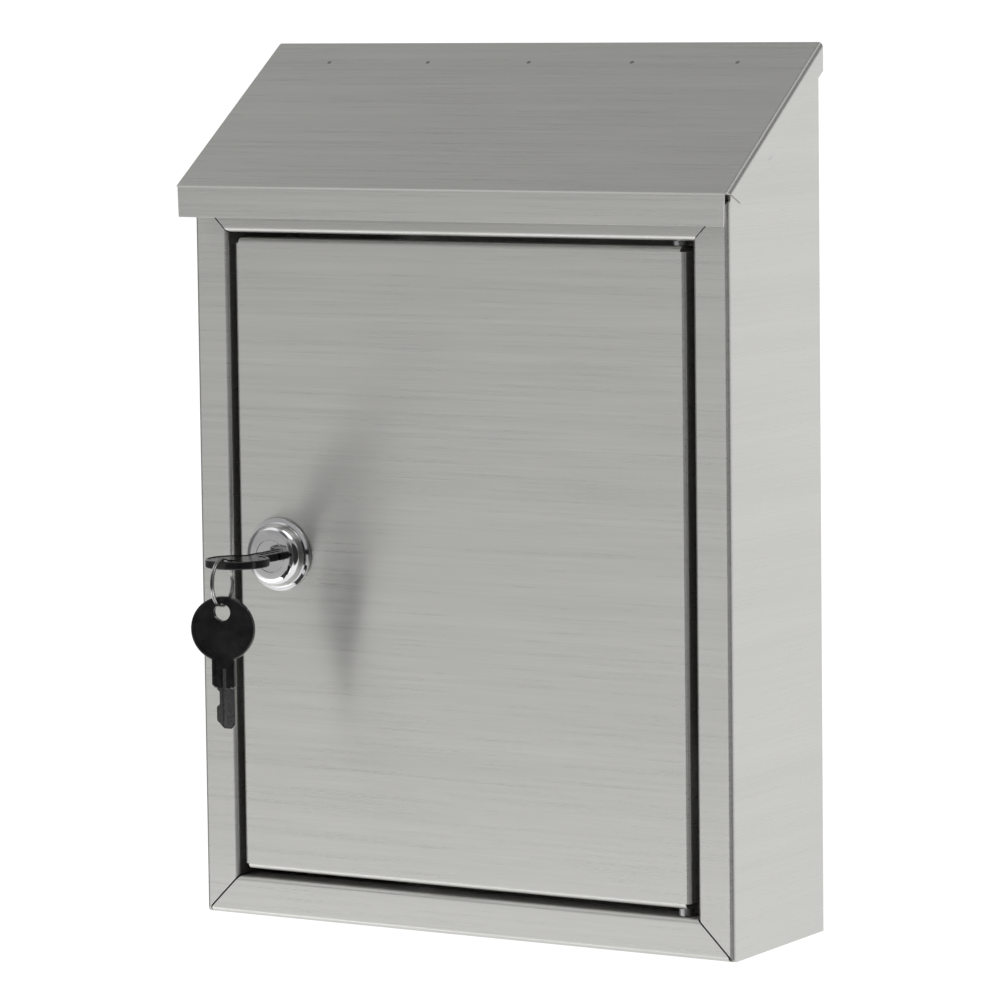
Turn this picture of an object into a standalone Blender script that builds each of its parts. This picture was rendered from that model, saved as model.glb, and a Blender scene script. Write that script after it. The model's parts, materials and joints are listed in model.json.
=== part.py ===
"""Wall mounted mailbox of folded stainless sheet: a sloping hinged lid, a locking front door and two keys.

The frame's origin lies on the wall plane, in the middle of the back panel. +X runs to the right of a person
who faces the box, +Y runs into the wall and +Z is up. Units are metres.
"""

import math

import bmesh
import bpy
from mathutils import Vector

MM = 0.001

# The folded body
WIDTH = 240 * MM
DEPTH = 74 * MM
FRONT_HEIGHT = 288.5 * MM
BASE = -172 * MM                 # height of the underside, below the origin
SHEET = 1.0 * MM                 # sheet thickness
BEND = 2.0 * MM                  # outer radius of every fold
FRAME = 15.5 * MM                # width of the folded frame round the door opening
RETURN = 12 * MM                 # depth of the frame's inner return
FIT = 0.3 * MM                   # gap between pieces that touch
MITRE_GAP = 0.4 * MM
REAR_FLANGE = 11 * MM
BACK_HEIGHT = 342.4 * MM
BACK_FLANGE_LOW = 1.5 * MM       # where the back panel's side flanges start, above its foot
BACK_FLANGE_HIGH = 30 * MM       # and where they end, below its top
SIDE_HEIGHT = 342.7 * MM         # of the side panels at the wall
CROWN_Y = -6.85 * MM             # where their top edge turns from level to the lid's slope
HEADER_SHELF = 6 * MM
SHELF_INSET = 2 * MM
HALF = WIDTH / 2
INNER = HALF - SHEET - FIT       # half width of the pieces that sit between the side panels
THROUGH = 6 * MM                 # length of a cutter that goes right through a sheet

# The holes for the wall screws: heights above the underside
WALL_HOLE_RADIUS = 3 * MM
WALL_HOLE_X = 70 * MM
WALL_HOLE_HEIGHTS = (60 * MM, 290 * MM)

# The rivets on the side panels
RIVET_RADIUS = 2.4 * MM
RIVET_CROWN = 1.3 * MM           # height of the head's middle over the panel
RIVET_Y = -41.5 * MM
RIVET_HEIGHT = 304.5 * MM

# The lid and its piano hinge
SLOPE = math.radians(35.4)
LEAF = 0.6 * MM                  # thickness of a hinge leaf
LEAF_WIDTH = 20 * MM
CURL = 1.6 * MM                  # outer radius of a hinge knuckle
PIN_RADIUS = 0.7 * MM
KNUCKLE = 24 * MM
KNUCKLES = 9
HINGE_Y = -3.1 * MM
HINGE_Z = BASE + 343.5 * MM
LID_OVERHANG = 4.5 * MM          # beyond each side panel
LID_RISE = CURL + FIT + SHEET    # from the hinge axis to the lid's outer face
LID_LENGTH = 94.7 * MM           # along the slope, from the hinge axis to the front corner
LIP_HEIGHT = 12 * MM
LIP_TAPER = 0.04                 # inset of the lip's ends, for each unit of its height
LID_FLANGE = 9 * MM
FLANGE_CHAMFER = 0.55            # inset of the side flanges' front ends, for each unit of their height
KNUCKLE_WRAP = math.radians(300) # how far a knuckle curls round the pin
KNUCKLE_CUT = 5 * MM             # height and depth of the cutter that clears a knuckle's place

# The door
DOOR_GAP = 3.0 * MM              # beside the door
DOOR_GAP_LOW = 3.4 * MM          # under it
DOOR_GAP_HIGH = 2.2 * MM         # over it
DOOR_RETURN = 10 * MM
DOOR_LEFT = -HALF + FRAME + DOOR_GAP
DOOR_RIGHT = -DOOR_LEFT
DOOR_LOW = BASE + FRAME + DOOR_GAP_LOW
DOOR_HIGH = BASE + FRONT_HEIGHT - FRAME - DOOR_GAP_HIGH
PIVOT_INSET = 4.5 * MM           # of the door's pivot, from its right edge and from its face
PIVOT_X = DOOR_RIGHT - PIVOT_INSET
PIVOT_Y = -DEPTH + PIVOT_INSET
PIVOT_RADIUS = 1.5 * MM
PIVOT_REACH = 3 * MM             # of the pivot's end into the door
PIVOT_HEAD = 1.2 * MM            # height of the riveted head
SHOULDER_RADIUS = 2.7 * MM
EDGE = 0.3 * MM                  # small chamfer on turned heads and ends

# The cam lock: heights along its axis are measured outwards from the door's face
LOCK_X = -82 * MM
LOCK_Z = BASE + 146 * MM
LOCK_PROUD = 7.5 * MM
FACE_RADIUS = 9.1 * MM           # of the flat ring round the plug
RIM_RADIUS = 14.5 * MM
RIM_HEIGHT = 1.5 * MM
DOME_RADIUS = RIM_RADIUS - 1.6 * MM
DOME_RUN = 3.6 * MM              # from the dome's foot inwards to its top
DOME_FOOT = 1.7 * MM
DOME_RISE = LOCK_PROUD - 1.9 * MM
DOME_STEPS = 6
BARREL_RADIUS = 9.3 * MM
PLUG_RADIUS = 6.2 * MM
BARREL_DEPTH = 12 * MM
CAM_FRONT = 12.8 * MM            # depth of the cam's front face behind the door's face
CAM_THICKNESS = 2.0 * MM
CAM_REACH = 29 * MM
CAM_WIDTH = 14 * MM
ARM_WIDTH = CAM_WIDTH - 1 * MM
STUD_RADIUS = 3.5 * MM
STUD_TAIL = 3.6 * MM             # of the stud behind the cam
CAM_NUT_RADIUS = 6 * MM
CAM_NUT_THICKNESS = 3 * MM
LOCK_NUT_RADIUS = 13.5 * MM
LOCK_NUT_THICKNESS = 4 * MM
KEYWAY_SPARE = 1 * MM            # depth of the keyway beyond the key's tip
HALF_SKIN = 0.005 * MM           # keeps a joined bar's faces off the faces of the disc it joins

# The keys: lengths run from the shoulder that meets the lock
BLADE_LENGTH = 16.0 * MM
BLADE_WIDTH = 7.4 * MM
BLADE_SHIFT = 0.9 * MM           # of the blade to the right of the key's middle
CUT_DEPTH = 1.2 * MM             # of the notch beside the neck
BLADE_THICKNESS = 2.0 * MM
TIP_SLANT = 1.4 * MM
TANG_LENGTH = 9 * MM
TANG_ROOT = 0.6 * MM             # of the tang inside the blade
TANG_WIDTH = 5 * MM
TANG_THICKNESS = 1.2 * MM
NECK_LENGTH = 11 * MM
NECK_WIDTH = 9.1 * MM
NECK_SLANT = 1.2 * MM            # cut off the neck's lower left corner
HEAD_RADIUS = 12.75 * MM
HEAD_THICKNESS = 3.2 * MM
BOW_STEPS = 40
HEAD_CENTRE = NECK_LENGTH + 12 * MM
EYE_RADIUS = 3.4 * MM
EYE_CENTRE = HEAD_CENTRE + 6.6 * MM
RING_RADIUS = 9.1 * MM
WIRE_RADIUS = 0.65 * MM
WIRE_GAP = 0.4 * MM              # between the ring's wire and the edge of the key's eye
RING_TURN = math.radians(8)      # how far the ring hangs turned to the right
SPARE_TURN = math.radians(16)

SMOOTH_ANGLE = math.radians(35)
WELD = 0.01 * MM                 # distance at which doubled points are merged
OUTWARDS = (math.pi / 2, 0, 0)   # turns local Z to point out of the door

STAINLESS = (0.60, 0.60, 0.59)
CHROME = (0.78, 0.78, 0.79)
BRIGHT_STEEL = (0.62, 0.62, 0.62)
BLACK_PLASTIC = (0.012, 0.012, 0.013)


def clear_scene():
    for item in list(bpy.data.objects):
        bpy.data.objects.remove(item)


def new_collection(name):
    collection = bpy.data.collections.new(name)
    bpy.context.scene.collection.children.link(collection)
    return collection


def new_material(name, colour, roughness, metallic):
    material = bpy.data.materials.new(name)
    material.use_nodes = True
    shader = material.node_tree.nodes["Principled BSDF"]
    shader.inputs["Base Color"].default_value = (*colour, 1)
    shader.inputs["Roughness"].default_value = roughness
    shader.inputs["Metallic"].default_value = metallic
    return material


def new_axis(name, location, rotation=(0, 0, 0), parent=None):
    """An empty on a joint's axis, which carries the pieces that move on it."""
    axis = bpy.data.objects.new(name, None)
    axis.location = location
    axis.rotation_euler = rotation
    axis.parent = parent
    PARTS.objects.link(axis)
    return axis


def place(
    name, mesh, colour, location=(0, 0, 0), rotation=(0, 0, 0), parent=None, metallic=1.0, roughness=0.35
):
    """Add a sub-part with its own material."""
    piece = bpy.data.objects.new(name, mesh)
    piece.location = location
    piece.rotation_euler = rotation
    piece.parent = parent
    mesh.materials.append(new_material(name, colour, roughness, metallic))
    mesh.shade_smooth()
    mesh.set_sharp_from_angle(angle=SMOOTH_ANGLE)
    PARTS.objects.link(piece)
    return piece


def to_mesh(name, bm):
    mesh = bpy.data.meshes.new(name)
    bm.to_mesh(mesh)
    bm.free()
    return mesh


def cut(piece, mesh, location, rotation=(0, 0, 0), operation="DIFFERENCE"):
    """Cut or join a piece with a helper mesh, placed in the piece's parent space."""
    helper = bpy.data.objects.new(f"{piece.name}_cutter", mesh)
    helper.location = location
    helper.rotation_euler = rotation
    helper.parent = piece.parent
    helper.hide_render = True
    helper.display_type = "WIRE"
    CUTTERS.objects.link(helper)
    boolean = piece.modifiers.new("Cut", "BOOLEAN")
    boolean.operation = operation
    boolean.solver = "EXACT"
    boolean.object = helper


def box_mesh(size):
    bm = bmesh.new()
    bmesh.ops.create_cube(bm, size=1)
    bmesh.ops.scale(bm, vec=size, verts=bm.verts)
    return to_mesh("box", bm)


def cylinder_mesh(radius, length, segments=32):
    bm = bmesh.new()
    bmesh.ops.create_cone(
        bm, cap_ends=True, segments=segments, radius1=radius, radius2=radius, depth=length
    )
    return to_mesh("cylinder", bm)


# Folded sheet


def fold_path(steps, radius, bend_steps=5):
    """Rows of a fold as (outward, drop) from the plate's edge; a step is (angle bent, length of flat)."""
    rows = []
    outward = drop = angle = 0.0
    for bend, flat in steps:
        for k in range(1, bend_steps + 1):
            turned = angle + bend * k / bend_steps
            rows.append(
                (
                    outward + radius * (math.sin(turned) - math.sin(angle)),
                    drop + radius * (math.cos(angle) - math.cos(turned)),
                )
            )
        angle += bend
        outward, drop = rows[-1]
        if flat:
            outward += flat * math.cos(angle)
            drop += flat * math.sin(angle)
            rows.append((outward, drop))
    return rows


def add_fold(bm, start, end, rows, start_inset, end_inset):
    """Extrude the plate's edge from start to end along the rows; an inset is a function of the drop."""
    first, last = start.co.copy(), end.co.copy()
    along = (last - first).normalized()
    away = along.cross(Vector((0, 0, 1)))
    edge = bm.edges.get((start, end))
    for outward, drop in rows:
        before = min(edge.verts, key=lambda v: (v.co - first).dot(along)).co.copy()
        made = bmesh.ops.extrude_edge_only(bm, edges=[edge])["geom"]
        edge = next(item for item in made if isinstance(item, bmesh.types.BMEdge))
        near = min(edge.verts, key=lambda v: (v.co - before).length)
        far = edge.other_vert(near)
        shift = away * outward - Vector((0, 0, drop))
        near.co = first + shift + along * start_inset(drop)
        far.co = last + shift - along * end_inset(drop)


def folded_sheet(outline, folds, radius=BEND):
    """A plate in the local XY plane, its outer face up, with folds along its edges.

    folds maps the index of an outline edge to (steps, start inset, end inset).
    """
    bm = bmesh.new()
    corners = [bm.verts.new((x, y, 0)) for x, y in outline]
    plate = bmesh.ops.contextual_create(bm, geom=corners)["faces"][0]
    if plate.normal.z < 0:
        plate.normal_flip()
    for index, (steps, start_inset, end_inset) in folds.items():
        start = corners[index]
        end = corners[(index + 1) % len(corners)]
        add_fold(bm, start, end, fold_path(steps, radius), start_inset, end_inset)
    bmesh.ops.recalc_face_normals(bm, faces=bm.faces)
    bm.faces.ensure_lookup_table()
    if bm.faces[0].normal.z < 0:
        bmesh.ops.reverse_faces(bm, faces=bm.faces)
    return to_mesh("sheet", bm)


def thicken(piece, thickness=SHEET):
    solidify = piece.modifiers.new("Sheet", "SOLIDIFY")
    solidify.thickness = thickness
    solidify.offset = -1
    solidify.use_even_offset = True


def square(inset=0.0):
    return lambda drop: inset


def mitred():
    """A 45 degree mitre."""
    return lambda drop: drop + MITRE_GAP


def tapered(slope):
    return lambda drop: slope * drop


FRAME_STEPS = [
    (math.pi / 2, FRAME - 2 * BEND),
    (math.pi / 2, RETURN - BEND),
]


def build_side_panel(name, side):
    """A side panel: local X runs out from the wall, local Y up, and the frame folds off its front edge."""
    front = side * (-DEPTH + BEND)
    front_height = SIDE_HEIGHT - (DEPTH + CROWN_Y) * math.tan(SLOPE)
    outline = [
        (0, 0),
        (front, 0),
        (front, FRONT_HEIGHT),
        (front, front_height),
        (side * CROWN_Y, SIDE_HEIGHT),
        (0, SIDE_HEIGHT),
    ]
    folds = {1: (FRAME_STEPS, mitred(), mitred())}
    if side > 0:
        outline.reverse()
        folds = {3: (FRAME_STEPS, mitred(), mitred())}
    mesh = folded_sheet(outline, folds)
    panel = place(
        name, mesh, STAINLESS, (side * HALF, 0, BASE), (math.pi / 2, 0, side * math.pi / 2)
    )
    thicken(panel)


def build_back_panel():
    """The back panel, with short flanges beside the side panels and four holes for the wall screws."""
    half = INNER - BEND
    flange = [(math.pi / 2, REAR_FLANGE - BEND)]
    mesh = folded_sheet(
        [(-half, 0), (half, 0), (half, BACK_HEIGHT), (-half, BACK_HEIGHT)],
        {
            1: (flange, square(BACK_FLANGE_LOW), square(BACK_FLANGE_HIGH)),
            3: (flange, square(BACK_FLANGE_HIGH), square(BACK_FLANGE_LOW)),
        },
    )
    panel = place("back_panel", mesh, STAINLESS, (0, 0, BASE), (math.pi / 2, 0, math.pi))
    thicken(panel)
    for x in (-WALL_HOLE_X, WALL_HOLE_X):
        for height in WALL_HOLE_HEIGHTS:
            cut(panel, cylinder_mesh(WALL_HOLE_RADIUS, THROUGH, 24), (x, 0, BASE + height), OUTWARDS)


def pivot_hole(piece, height):
    cut(piece, cylinder_mesh(PIVOT_RADIUS + FIT, THROUGH, 24), (PIVOT_X, PIVOT_Y, height))


def rail_end(drop):
    """Inset of the lower rail's mitred end, past the side panels' own bends; its plate ends at INNER."""
    return max(drop, BEND) + MITRE_GAP - (HALF - INNER)


def build_bottom_panel():
    """The floor of the box: its front edge is the lower rail of the frame, its rear edge a short flange."""
    front = DEPTH - BEND
    rear = SHEET + FIT + BEND
    mesh = folded_sheet(
        [(-INNER, rear), (INNER, rear), (INNER, front), (-INNER, front)],
        {
            0: ([(math.pi / 2, REAR_FLANGE - BEND)], square(SHEET + FIT), square(SHEET + FIT)),
            2: (FRAME_STEPS, rail_end, rail_end),
        },
    )
    panel = place("bottom_panel", mesh, STAINLESS, (0, 0, BASE), (math.pi, 0, 0))
    thicken(panel)
    pivot_hole(panel, BASE + FRAME)


def header_return_end(drop):
    """The header's lower return narrows to the width between the side panels' returns."""
    return min(drop, BEND) + MITRE_GAP


def build_header_rail():
    """The rail above the door, under the letter slot, with a return below and a short shelf on top."""
    half = HALF - FRAME
    low = -FRAME + BEND
    high = -BEND
    face_half_low = half + BEND
    face_half_high = HALF - BEND - MITRE_GAP
    mesh = folded_sheet(
        [
            (-face_half_low, low),
            (face_half_low, low),
            (face_half_high, high),
            (-face_half_high, high),
        ],
        {
            0: ([(math.pi / 2, RETURN - BEND)], header_return_end, header_return_end),
            2: ([(math.pi / 2, HEADER_SHELF)], square(SHELF_INSET), square(SHELF_INSET)),
        },
    )
    rail = place(
        "header_rail", mesh, STAINLESS, (0, -DEPTH, BASE + FRONT_HEIGHT), (math.pi / 2, 0, 0)
    )
    thicken(rail)
    pivot_hole(rail, BASE + FRONT_HEIGHT - FRAME)


# Lid


def build_lid(axis):
    """The lid sheet, flat in its own frame: a lip folded down in front and a flange down each side."""
    half = HALF + LID_OVERHANG - BEND
    lip_bend = math.pi / 2 - SLOPE
    setback = BEND * math.tan(lip_bend / 2)
    front = -LID_LENGTH + setback
    flange = [(math.pi / 2, LID_FLANGE - BEND)]
    lip = [(lip_bend, LIP_HEIGHT - setback)]
    rear_cut = tapered(math.tan(SLOPE))
    front_cut = tapered(FLANGE_CHAMFER)
    mesh = folded_sheet(
        [(-half, front), (half, front), (half, 0), (-half, 0)],
        {
            0: (lip, tapered(LIP_TAPER), tapered(LIP_TAPER)),
            1: (flange, front_cut, rear_cut),
            3: (flange, rear_cut, front_cut),
        },
    )
    lid = place("lid_sheet", mesh, STAINLESS, (0, 0, LID_RISE), parent=axis)
    thicken(lid)


def leaf_mesh():
    """A hinge leaf that curls round the pin: its outer face is up, and the pin lies below its edge."""
    half = KNUCKLE * KNUCKLES / 2
    return folded_sheet(
        [(-half, -LEAF_WIDTH), (half, -LEAF_WIDTH), (half, 0), (-half, 0)],
        {2: ([(KNUCKLE_WRAP, 0)], square(), square())},
        radius=CURL,
    )


def build_leaf(name, pin, facing, rotation, parent, first):
    """A leaf that faces away from the pin, with every other knuckle from the first kept."""
    leaf = place(name, leaf_mesh(), BRIGHT_STEEL, pin + facing * CURL, rotation, parent)
    thicken(leaf, LEAF)
    for k in range(1 - first, KNUCKLES, 2):
        x = (k - (KNUCKLES - 1) / 2) * KNUCKLE
        size = (KNUCKLE + FIT, KNUCKLE_CUT, KNUCKLE_CUT)
        cut(leaf, box_mesh(size), pin + Vector((x, 0, 0)))


def build_hinge(lid_axis):
    pin_line = Vector((0, HINGE_Y, HINGE_Z))
    to_wall = Vector((0, 1, 0))
    up = Vector((0, 0, 1))
    build_leaf("hinge_body_leaf", pin_line, to_wall, (math.pi / 2, 0, math.pi), None, 0)
    build_leaf("hinge_lid_leaf", Vector((0, 0, 0)), up, (0, 0, 0), lid_axis, 1)
    pin = cylinder_mesh(PIN_RADIUS, KNUCKLE * KNUCKLES, 12)
    place("hinge_pin", pin, BRIGHT_STEEL, pin_line, (0, math.pi / 2, 0))


# Door


def build_door(axis):
    """The door, a shallow tray with a return folded back from each edge and open corners."""
    width = DOOR_RIGHT - DOOR_LEFT
    height = DOOR_HIGH - DOOR_LOW
    edge = [(math.pi / 2, DOOR_RETURN - BEND)]
    right, top = width / 2 - BEND, height / 2 - BEND
    mesh = folded_sheet(
        [(-right, -top), (right, -top), (right, top), (-right, top)],
        {k: (edge, square(), square()) for k in range(4)},
    )
    centre = Vector(
        ((DOOR_LEFT + DOOR_RIGHT) / 2 - PIVOT_X, -DEPTH - PIVOT_Y, (DOOR_LOW + DOOR_HIGH) / 2)
    )
    door = place("door_sheet", mesh, STAINLESS, centre, (math.pi / 2, 0, 0), axis)
    thicken(door)
    for z in (DOOR_LOW, DOOR_HIGH):
        cut(door, cylinder_mesh(PIVOT_RADIUS + FIT, THROUGH, 24), (0, 0, z))
    lock_at = (LOCK_X - PIVOT_X, -DEPTH - PIVOT_Y, LOCK_Z)
    cut(door, cylinder_mesh(BARREL_RADIUS + FIT, THROUGH, 40), lock_at, OUTWARDS)


def turned(
    name, profile, colour, location, rotation, parent=None, segments=32, closed=False, **looks
):
    """A turned piece: its profile is (radius, height) down the outer side, swept about local Z."""
    bm = bmesh.new()
    points = [bm.verts.new((r, 0, z)) for r, z in profile]
    for a, b in zip(points, points[1:]):
        bm.edges.new((a, b))
    if closed:
        bm.edges.new((points[-1], points[0]))
    piece = place(name, to_mesh(name, bm), colour, location, rotation, parent, **looks)
    screw = piece.modifiers.new("Turn", "SCREW")
    screw.steps = segments
    screw.render_steps = segments
    screw.use_merge_vertices = True
    screw.merge_threshold = WELD
    return piece


def pivot_profile(gap):
    """A pin with a riveted head, a shoulder in the gap and a shank that ends inside the door."""
    head_low = SHEET + FIT
    shoulder_low = -gap + FIT
    shank_end = -gap - PIVOT_REACH
    return [
        (0, head_low + PIVOT_HEAD),
        (SHOULDER_RADIUS, head_low + PIVOT_HEAD - EDGE),
        (SHOULDER_RADIUS, head_low),
        (PIVOT_RADIUS, head_low),
        (PIVOT_RADIUS, -FIT),
        (SHOULDER_RADIUS, -FIT),
        (SHOULDER_RADIUS, shoulder_low),
        (PIVOT_RADIUS, shoulder_low),
        (PIVOT_RADIUS, shank_end),
        (0, shank_end - EDGE),
    ]


def build_pivots():
    """The two pins that the door turns on."""
    pins = [
        ("door_pivot_upper", DOOR_GAP_HIGH, BASE + FRONT_HEIGHT - FRAME, 0),
        ("door_pivot_lower", DOOR_GAP_LOW, BASE + FRAME, math.pi),
    ]
    for name, gap, height, flip in pins:
        at = (PIVOT_X, PIVOT_Y, height)
        turned(name, pivot_profile(gap), BRIGHT_STEEL, at, (flip, 0, 0), segments=20)


# Lock


def build_lock(door_axis, plug_axis):
    face = Vector((LOCK_X - PIVOT_X, -DEPTH - PIVOT_Y, LOCK_Z))
    build_housing(door_axis, face)
    build_lock_nut(door_axis, face)
    build_plug(plug_axis)
    build_cam(plug_axis)


def build_housing(axis, face):
    """The chrome housing: a flat ring round the plug, a dome, a thin rim and a barrel through the door."""
    bore = PLUG_RADIUS + FIT
    dome = []
    for k in reversed(range(DOME_STEPS)):
        a = math.radians(15 * k)
        dome.append((DOME_RADIUS - DOME_RUN * (1 - math.cos(a)), DOME_FOOT + DOME_RISE * math.sin(a)))
    profile = [
        (bore, LOCK_PROUD),
        (FACE_RADIUS, LOCK_PROUD),
        *dome,
        (RIM_RADIUS - EDGE, RIM_HEIGHT),
        (RIM_RADIUS, RIM_HEIGHT - EDGE),
        (RIM_RADIUS, FIT),
        (BARREL_RADIUS, FIT),
        (BARREL_RADIUS, -BARREL_DEPTH),
        (bore, -BARREL_DEPTH),
    ]
    turned("lock_housing", profile, CHROME, face, OUTWARDS, axis, 40, closed=True, roughness=0.08)


def build_lock_nut(axis, face):
    """The hex nut that clamps the housing to the back of the door."""
    at = face + Vector((0, SHEET + FIT + LOCK_NUT_THICKNESS / 2, 0))
    body = cylinder_mesh(LOCK_NUT_RADIUS, LOCK_NUT_THICKNESS, 6)
    nut = place("lock_nut", body, BRIGHT_STEEL, at, OUTWARDS, axis)
    cut(nut, cylinder_mesh(BARREL_RADIUS + FIT, 2 * LOCK_NUT_THICKNESS, 40), at, OUTWARDS)


def build_plug(axis):
    """The plug that the key turns: a keyway in front, and behind it a stud that carries the cam."""
    stud_end = -CAM_FRONT - CAM_THICKNESS - STUD_TAIL
    profile = [
        (0, LOCK_PROUD),
        (PLUG_RADIUS, LOCK_PROUD),
        (PLUG_RADIUS, -BARREL_DEPTH),
        (STUD_RADIUS, -BARREL_DEPTH),
        (STUD_RADIUS, stud_end),
        (0, stud_end),
    ]
    plug = turned("lock_plug", profile, CHROME, (0, 0, 0), OUTWARDS, axis, 32, roughness=0.12)
    depth = BLADE_LENGTH + KEYWAY_SPARE
    cut(
        plug,
        box_mesh((BLADE_WIDTH + 2 * FIT, 2 * depth, BLADE_THICKNESS + 2 * FIT)),
        (BLADE_SHIFT, -LOCK_PROUD, 0),
    )


def build_cam(axis):
    """The cam bar hangs down when the lock is open, and the hex nut behind it holds it on the stud."""
    at = Vector((0, CAM_FRONT + CAM_THICKNESS / 2, 0))
    disc = cylinder_mesh(CAM_WIDTH / 2, CAM_THICKNESS)
    cam = place("lock_cam", disc, BRIGHT_STEEL, at, OUTWARDS, axis)
    arm = box_mesh((ARM_WIDTH, CAM_THICKNESS - 2 * HALF_SKIN, CAM_REACH))
    cut(cam, arm, at - Vector((0, 0, CAM_REACH / 2)), operation="UNION")
    cut(cam, cylinder_mesh(STUD_RADIUS + FIT, 4 * CAM_THICKNESS, 28), at, OUTWARDS)
    back = Vector((0, CAM_FRONT + CAM_THICKNESS + FIT + CAM_NUT_THICKNESS / 2, 0))
    body = cylinder_mesh(CAM_NUT_RADIUS, CAM_NUT_THICKNESS, 6)
    nut = place("cam_nut", body, BRIGHT_STEEL, back, OUTWARDS, axis)
    cut(nut, cylinder_mesh(STUD_RADIUS + FIT, 2 * CAM_NUT_THICKNESS, 28), back, OUTWARDS)


# Keys: each is built flat in its parent's XY plane, with the tip towards +Y and the head towards -Y


def outline_mesh(name, points, thickness):
    """A flat plate of the outline, centred on the local XY plane."""
    curve = bpy.data.curves.new(name, "CURVE")
    curve.dimensions = "2D"
    curve.fill_mode = "BOTH"
    curve.extrude = thickness / 2
    spline = curve.splines.new("POLY")
    spline.points.add(len(points) - 1)
    for point, (x, y) in zip(spline.points, points):
        point.co = (x, y, 0, 1)
    spline.use_cyclic_u = True
    holder = bpy.data.objects.new(name, curve)
    CUTTERS.objects.link(holder)
    evaluated = holder.evaluated_get(bpy.context.evaluated_depsgraph_get())
    mesh = bpy.data.meshes.new_from_object(evaluated)
    bpy.data.objects.remove(holder)
    bm = bmesh.new()
    bm.from_mesh(mesh)
    bmesh.ops.remove_doubles(bm, verts=bm.verts, dist=WELD)
    bpy.data.meshes.remove(mesh)
    return to_mesh(name, bm)


def blade_outline():
    """The blade is cut on its left side: points are (inset from that side, distance from the tip)."""
    left = BLADE_SHIFT - BLADE_WIDTH / 2
    right = BLADE_SHIFT + BLADE_WIDTH / 2
    tip = [(2.8, 0), (1.9, 1.2), (1.2, 2.0), (0.2, 2.9), (0, 3.4)]
    notch = [(0, 8.5), (CUT_DEPTH / MM, 9.6), (CUT_DEPTH / MM, 14.4)]
    return [
        (left, FIT),
        (right, FIT),
        (right, BLADE_LENGTH - TIP_SLANT),
        (right - TIP_SLANT, BLADE_LENGTH),
        *((left + inset * MM, BLADE_LENGTH - back * MM) for inset, back in tip + notch),
    ]


def head_outline():
    """A round bow that narrows to the neck, whose end is slanted on the side of the cuts."""
    half = NECK_WIDTH / 2
    join = math.asin(half / HEAD_RADIUS)
    step = (2 * math.pi - 2 * join) / BOW_STEPS
    angles = [join + step * k for k in range(BOW_STEPS + 1)]
    arc = [(HEAD_RADIUS * math.sin(a), HEAD_RADIUS * math.cos(a) - HEAD_CENTRE) for a in angles]
    return [(-half, -NECK_SLANT), (-half + NECK_SLANT, 0), (half, 0), *arc]


def build_key(prefix, parent, offset):
    """A key whose shoulder lies at offset along the parent's Y axis."""
    at = Vector((0, offset, 0))
    plate = outline_mesh("blade", blade_outline(), BLADE_THICKNESS)
    blade = place(f"{prefix}_blade", plate, BRIGHT_STEEL, at, parent=parent)
    tang_span = TANG_LENGTH + TANG_ROOT
    tang = box_mesh((TANG_WIDTH, tang_span, TANG_THICKNESS))
    cut(blade, tang, at + Vector((0, TANG_ROOT - tang_span / 2, 0)), operation="UNION")
    bow = outline_mesh("head", head_outline(), HEAD_THICKNESS)
    head = place(
        f"{prefix}_head", bow, BLACK_PLASTIC, at, parent=parent, metallic=0.0, roughness=0.3
    )
    cut(head, cylinder_mesh(EYE_RADIUS, THROUGH, 28), at - Vector((0, EYE_CENTRE, 0)))
    pocket = (TANG_WIDTH + 2 * FIT, 2 * (TANG_LENGTH + FIT), TANG_THICKNESS + 2 * FIT)
    cut(head, box_mesh(pocket), at)


def build_ring(axis, centre):
    """The wire ring stands in its parent's YZ plane."""
    bpy.ops.mesh.primitive_torus_add(
        major_radius=RING_RADIUS, minor_radius=WIRE_RADIUS, major_segments=40, minor_segments=10
    )
    torus = bpy.context.object
    mesh = torus.data.copy()
    bpy.data.objects.remove(torus)
    place("key_ring", mesh, BRIGHT_STEEL, centre, (0, math.pi / 2, 0), axis)


def ring_reach(height):
    """Half the ring's width at a height above its centre."""
    return math.sqrt(RING_RADIUS**2 - height**2)


def build_keys(plug_axis):
    """The key stands level in the lock; the ring hangs in its eye and the spare key hangs on the ring."""
    shoulder = -LOCK_PROUD - FIT
    key_axis = new_axis("key_axis", (0, 0, 0), parent=plug_axis)
    build_key("key", key_axis, shoulder)

    rise = HEAD_THICKNESS / 2 + FIT + WIRE_RADIUS
    reach = ring_reach(RING_RADIUS - rise)
    low_reach = ring_reach(RING_RADIUS - rise - HEAD_THICKNESS / 2)
    from_edge = WIRE_RADIUS + WIRE_GAP + low_reach - reach
    crossing = shoulder - EYE_CENTRE + EYE_RADIUS - from_edge
    ring_axis = new_axis("ring_axis", (0, crossing, 0), (0, 0, RING_TURN), key_axis)
    centre = Vector((0, -reach, rise - RING_RADIUS))
    build_ring(ring_axis, centre)

    bottom = centre - Vector((0, 0, RING_RADIUS))
    spare_axis = new_axis("spare_axis", bottom, (0, 0, SPARE_TURN - RING_TURN), ring_axis)
    eye_drop = EYE_RADIUS - WIRE_RADIUS - FIT
    hang = new_axis("spare_hang", (0, 0, -eye_drop), (-math.pi / 2, 0, 0), spare_axis)
    build_key("spare_key", hang, EYE_CENTRE)


def build_side_rivets():
    """A small domed rivet on each side panel, under the edge of the lid's flange."""
    profile = [
        (0, RIVET_CROWN),
        (0.5 * RIVET_RADIUS, 0.85 * RIVET_CROWN),
        (0.87 * RIVET_RADIUS, 0.5 * RIVET_CROWN),
        (RIVET_RADIUS, FIT),
        (0, FIT),
    ]
    for name, side in (("side_rivet_left", -1), ("side_rivet_right", 1)):
        location = (side * HALF, RIVET_Y, BASE + RIVET_HEIGHT)
        turned(name, profile, BRIGHT_STEEL, location, (0, side * math.pi / 2, 0), segments=16)


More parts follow.
